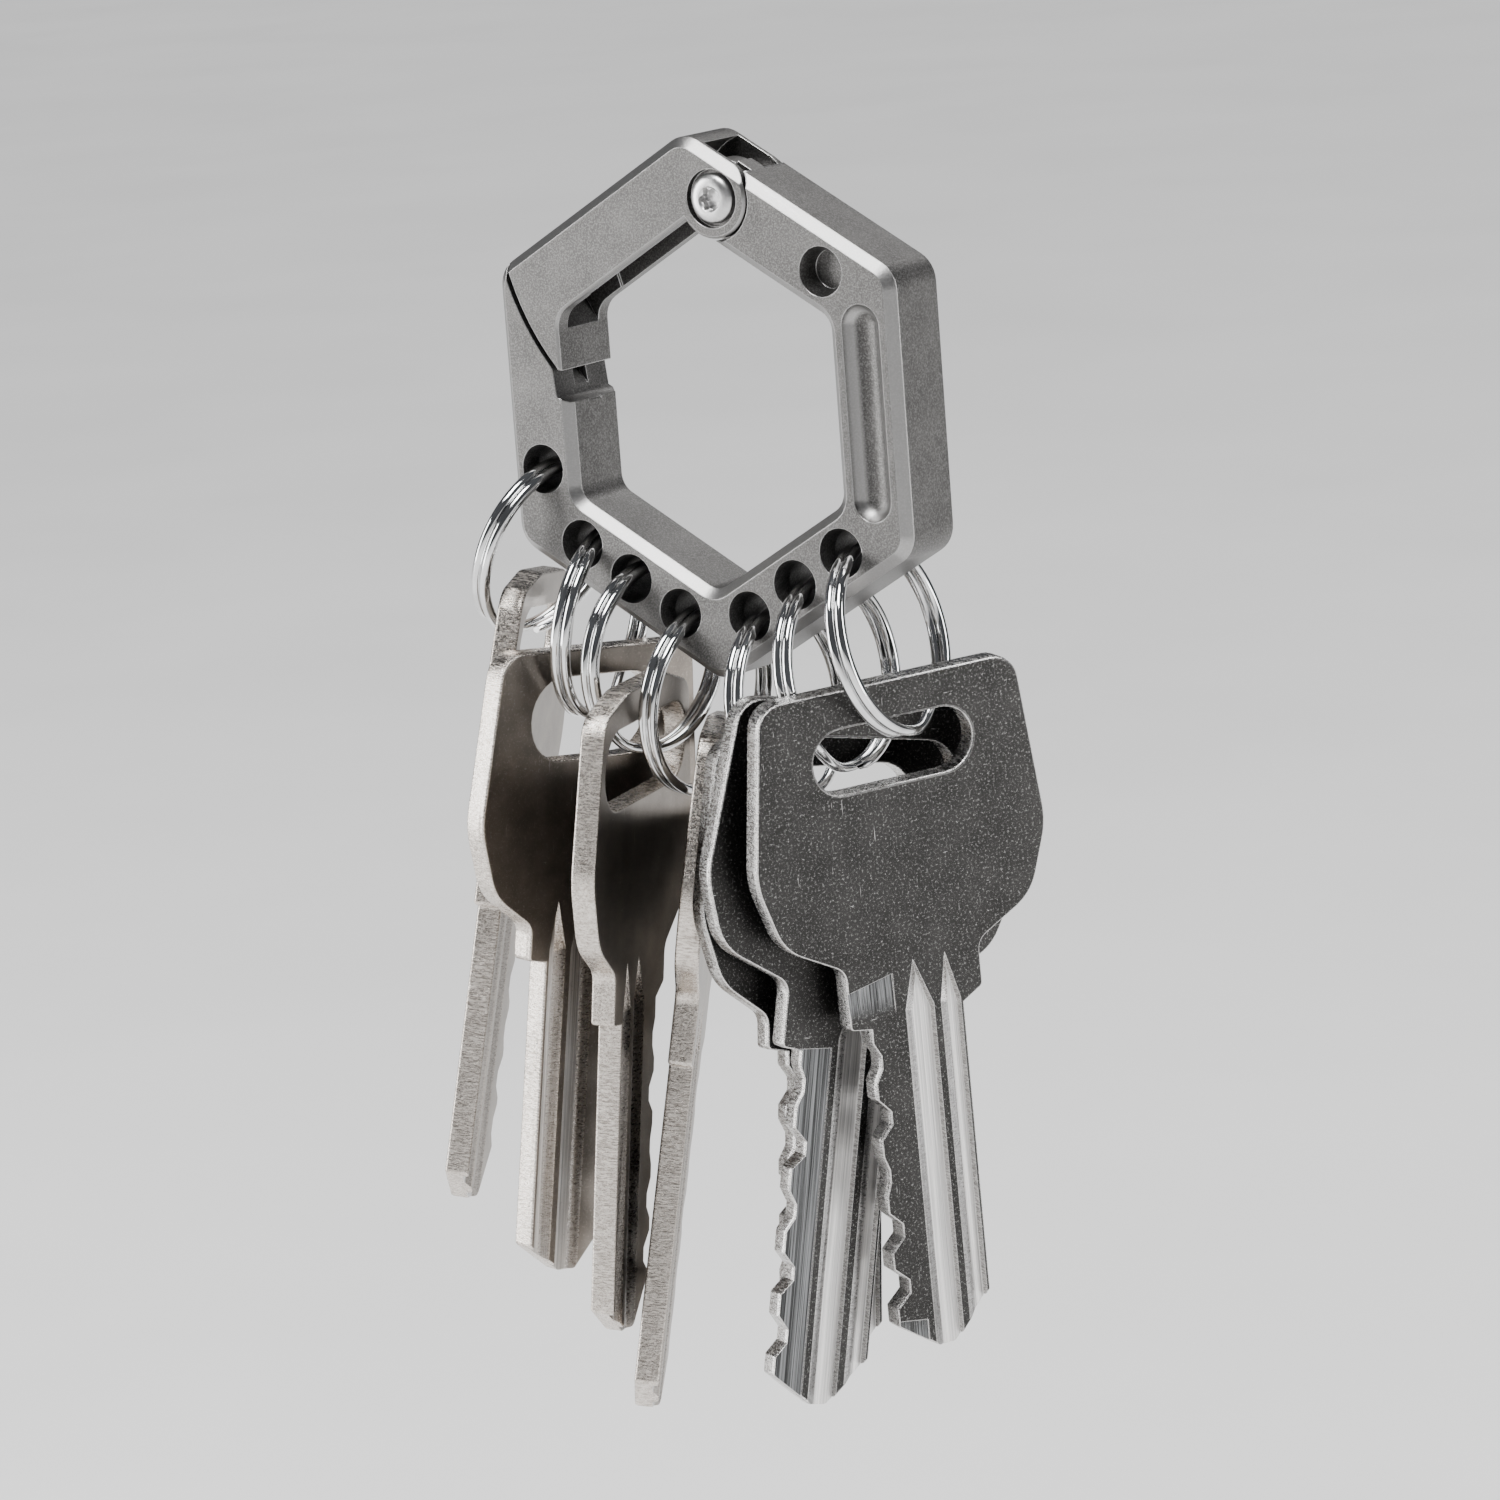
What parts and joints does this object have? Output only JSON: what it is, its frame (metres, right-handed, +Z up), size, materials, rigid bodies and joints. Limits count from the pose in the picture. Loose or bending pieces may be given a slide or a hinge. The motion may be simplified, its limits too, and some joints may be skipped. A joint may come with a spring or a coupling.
{
  "type": "key organiser",
  "caption": "Hexagonal metal key organiser with a sprung hinged gate and split rings that each carry a flat key.",
  "frame": {"origin": "centre of the hexagon, midway through its thickness, as the open space that a belt loop or hook holds", "axes": "+Z up through the hexagon's top corner, -Y out of the front face that shows the pivot screw, +X towards the long scooped arm"},
  "size_m": [0.0506, 0.0317, 0.1009],
  "materials": {
    "titanium": "bead-blasted grey titanium with bright machined chamfers",
    "stainless": "satin stainless steel",
    "ring_wire": "bright nickel-plated wire",
    "key_metal": "worn nickel silver, speckled faces and milled grooves"
  },
  "bodies": {
    "frame": {"frame_body": "titanium", "washer_front": "stainless", "washer_rear": "stainless"},
    "gate": {"gate": "titanium", "pivot_screw": "stainless", "pivot_barrel": "stainless", "gate_spring": "stainless"},
    "ring_1": {"ring_1": "ring_wire"},
    "key_1": {"key_1": "key_metal"},
    "ring_2": {"ring_2": "ring_wire"},
    "key_2": {"key_2": "key_metal"},
    "ring_3": {"ring_3": "ring_wire"},
    "key_3": {"key_3": "key_metal"},
    "ring_4": {"ring_4": "ring_wire"},
    "key_4": {"key_4": "key_metal"},
    "ring_5": {"ring_5": "ring_wire"},
    "key_5": {"key_5": "key_metal"},
    "ring_6": {"ring_6": "ring_wire"},
    "key_6": {"key_6": "key_metal"},
    "ring_7": {"ring_7": "ring_wire"},
    "key_7": {"key_7": "key_metal"}
  },
  "joints": [
    {"name": "gate_hinge", "type": "hinge", "parent": "frame", "child": "gate", "pos_m": [0.0026, 0, 0.01631], "axis": [0, -1, 0], "range_deg": [0, 35], "stiffness_Nm_per_rad": 0.012, "springref_deg": -12, "deforming": ["gate_spring"]},
    {"name": "ring_1_turn", "type": "hinge", "parent": "frame", "child": "ring_1", "pos_m": [-0.01821, -0.00001, -0.01161], "axis": [0.919, -0.1015, -0.3811], "range_deg": [-8, 30]},
    {"name": "key_1_swing", "type": "hinge", "parent": "ring_1", "child": "key_1", "pos_m": [-0.02103, -0.00002, -0.0184], "axis": [0.9017, 0.394, -0.1779], "range_deg": [-2, 8]},
    {"name": "ring_2_turn", "type": "hinge", "parent": "frame", "child": "ring_2", "pos_m": [-0.01333, -0.00017, -0.01751], "axis": [0.9686, 0.1743, -0.1771], "range_deg": [-2, 5]},
    {"name": "key_2_swing", "type": "hinge", "parent": "ring_2", "child": "key_2", "pos_m": [-0.01442, -0.0014, -0.02467], "axis": [0.9791, -0.1868, -0.0802], "range_deg": [-8, 8]},
    {"name": "ring_3_turn", "type": "hinge", "parent": "frame", "child": "ring_3", "pos_m": [-0.00824, -0.00054, -0.02001], "axis": [0.9892, -0.125, -0.0767], "range_deg": [-30, 0]},
    {"name": "key_3_swing", "type": "hinge", "parent": "ring_3", "child": "key_3", "pos_m": [-0.00887, -0.00104, -0.02732], "axis": [0.9562, 0.2733, -0.1045], "range_deg": [-12, 0]},
    {"name": "ring_4_turn", "type": "hinge", "parent": "frame", "child": "ring_4", "pos_m": [-0.00403, 0.00029, -0.02332], "axis": [0.9899, -0.0588, -0.1288], "range_deg": [0, 6.4]},
    {"name": "key_4_swing", "type": "hinge", "parent": "ring_4", "child": "key_4", "pos_m": [-0.00492, 0.00124, -0.03055], "axis": [0.854, 0.4911, -0.1719], "range_deg": [-2, 3.8]},
    {"name": "ring_5_turn", "type": "hinge", "parent": "frame", "child": "ring_5", "pos_m": [0.0039, 0.00001, -0.02331], "axis": [0.9952, 0.0122, 0.0976], "range_deg": [0, 16]},
    {"name": "key_5_swing", "type": "hinge", "parent": "ring_5", "child": "key_5", "pos_m": [0.00462, -0.00017, -0.03062], "axis": [0.8889, -0.4549, 0.0541], "range_deg": [-8, 6.4]},
    {"name": "ring_6_turn", "type": "hinge", "parent": "frame", "child": "ring_6", "pos_m": [0.00891, -0.00028, -0.02066], "axis": [0.9885, 0.0242, 0.1495], "range_deg": [-4, 0]},
    {"name": "key_6_swing", "type": "hinge", "parent": "ring_6", "child": "key_6", "pos_m": [0.01001, -0.00057, -0.02792], "axis": [0.8878, -0.4602, -0.007], "range_deg": [-10, 5.1]},
    {"name": "ring_7_turn", "type": "hinge", "parent": "frame", "child": "ring_7", "pos_m": [0.01409, -0.00063, -0.01769], "axis": [0.9715, 0.0748, 0.225], "range_deg": [-30, 2]},
    {"name": "key_7_swing", "type": "hinge", "parent": "ring_7", "child": "key_7", "pos_m": [0.01569, 0.00007, -0.02483], "axis": [0.8809, -0.4704, -0.0523], "range_deg": [-4, 6]}
  ]
}
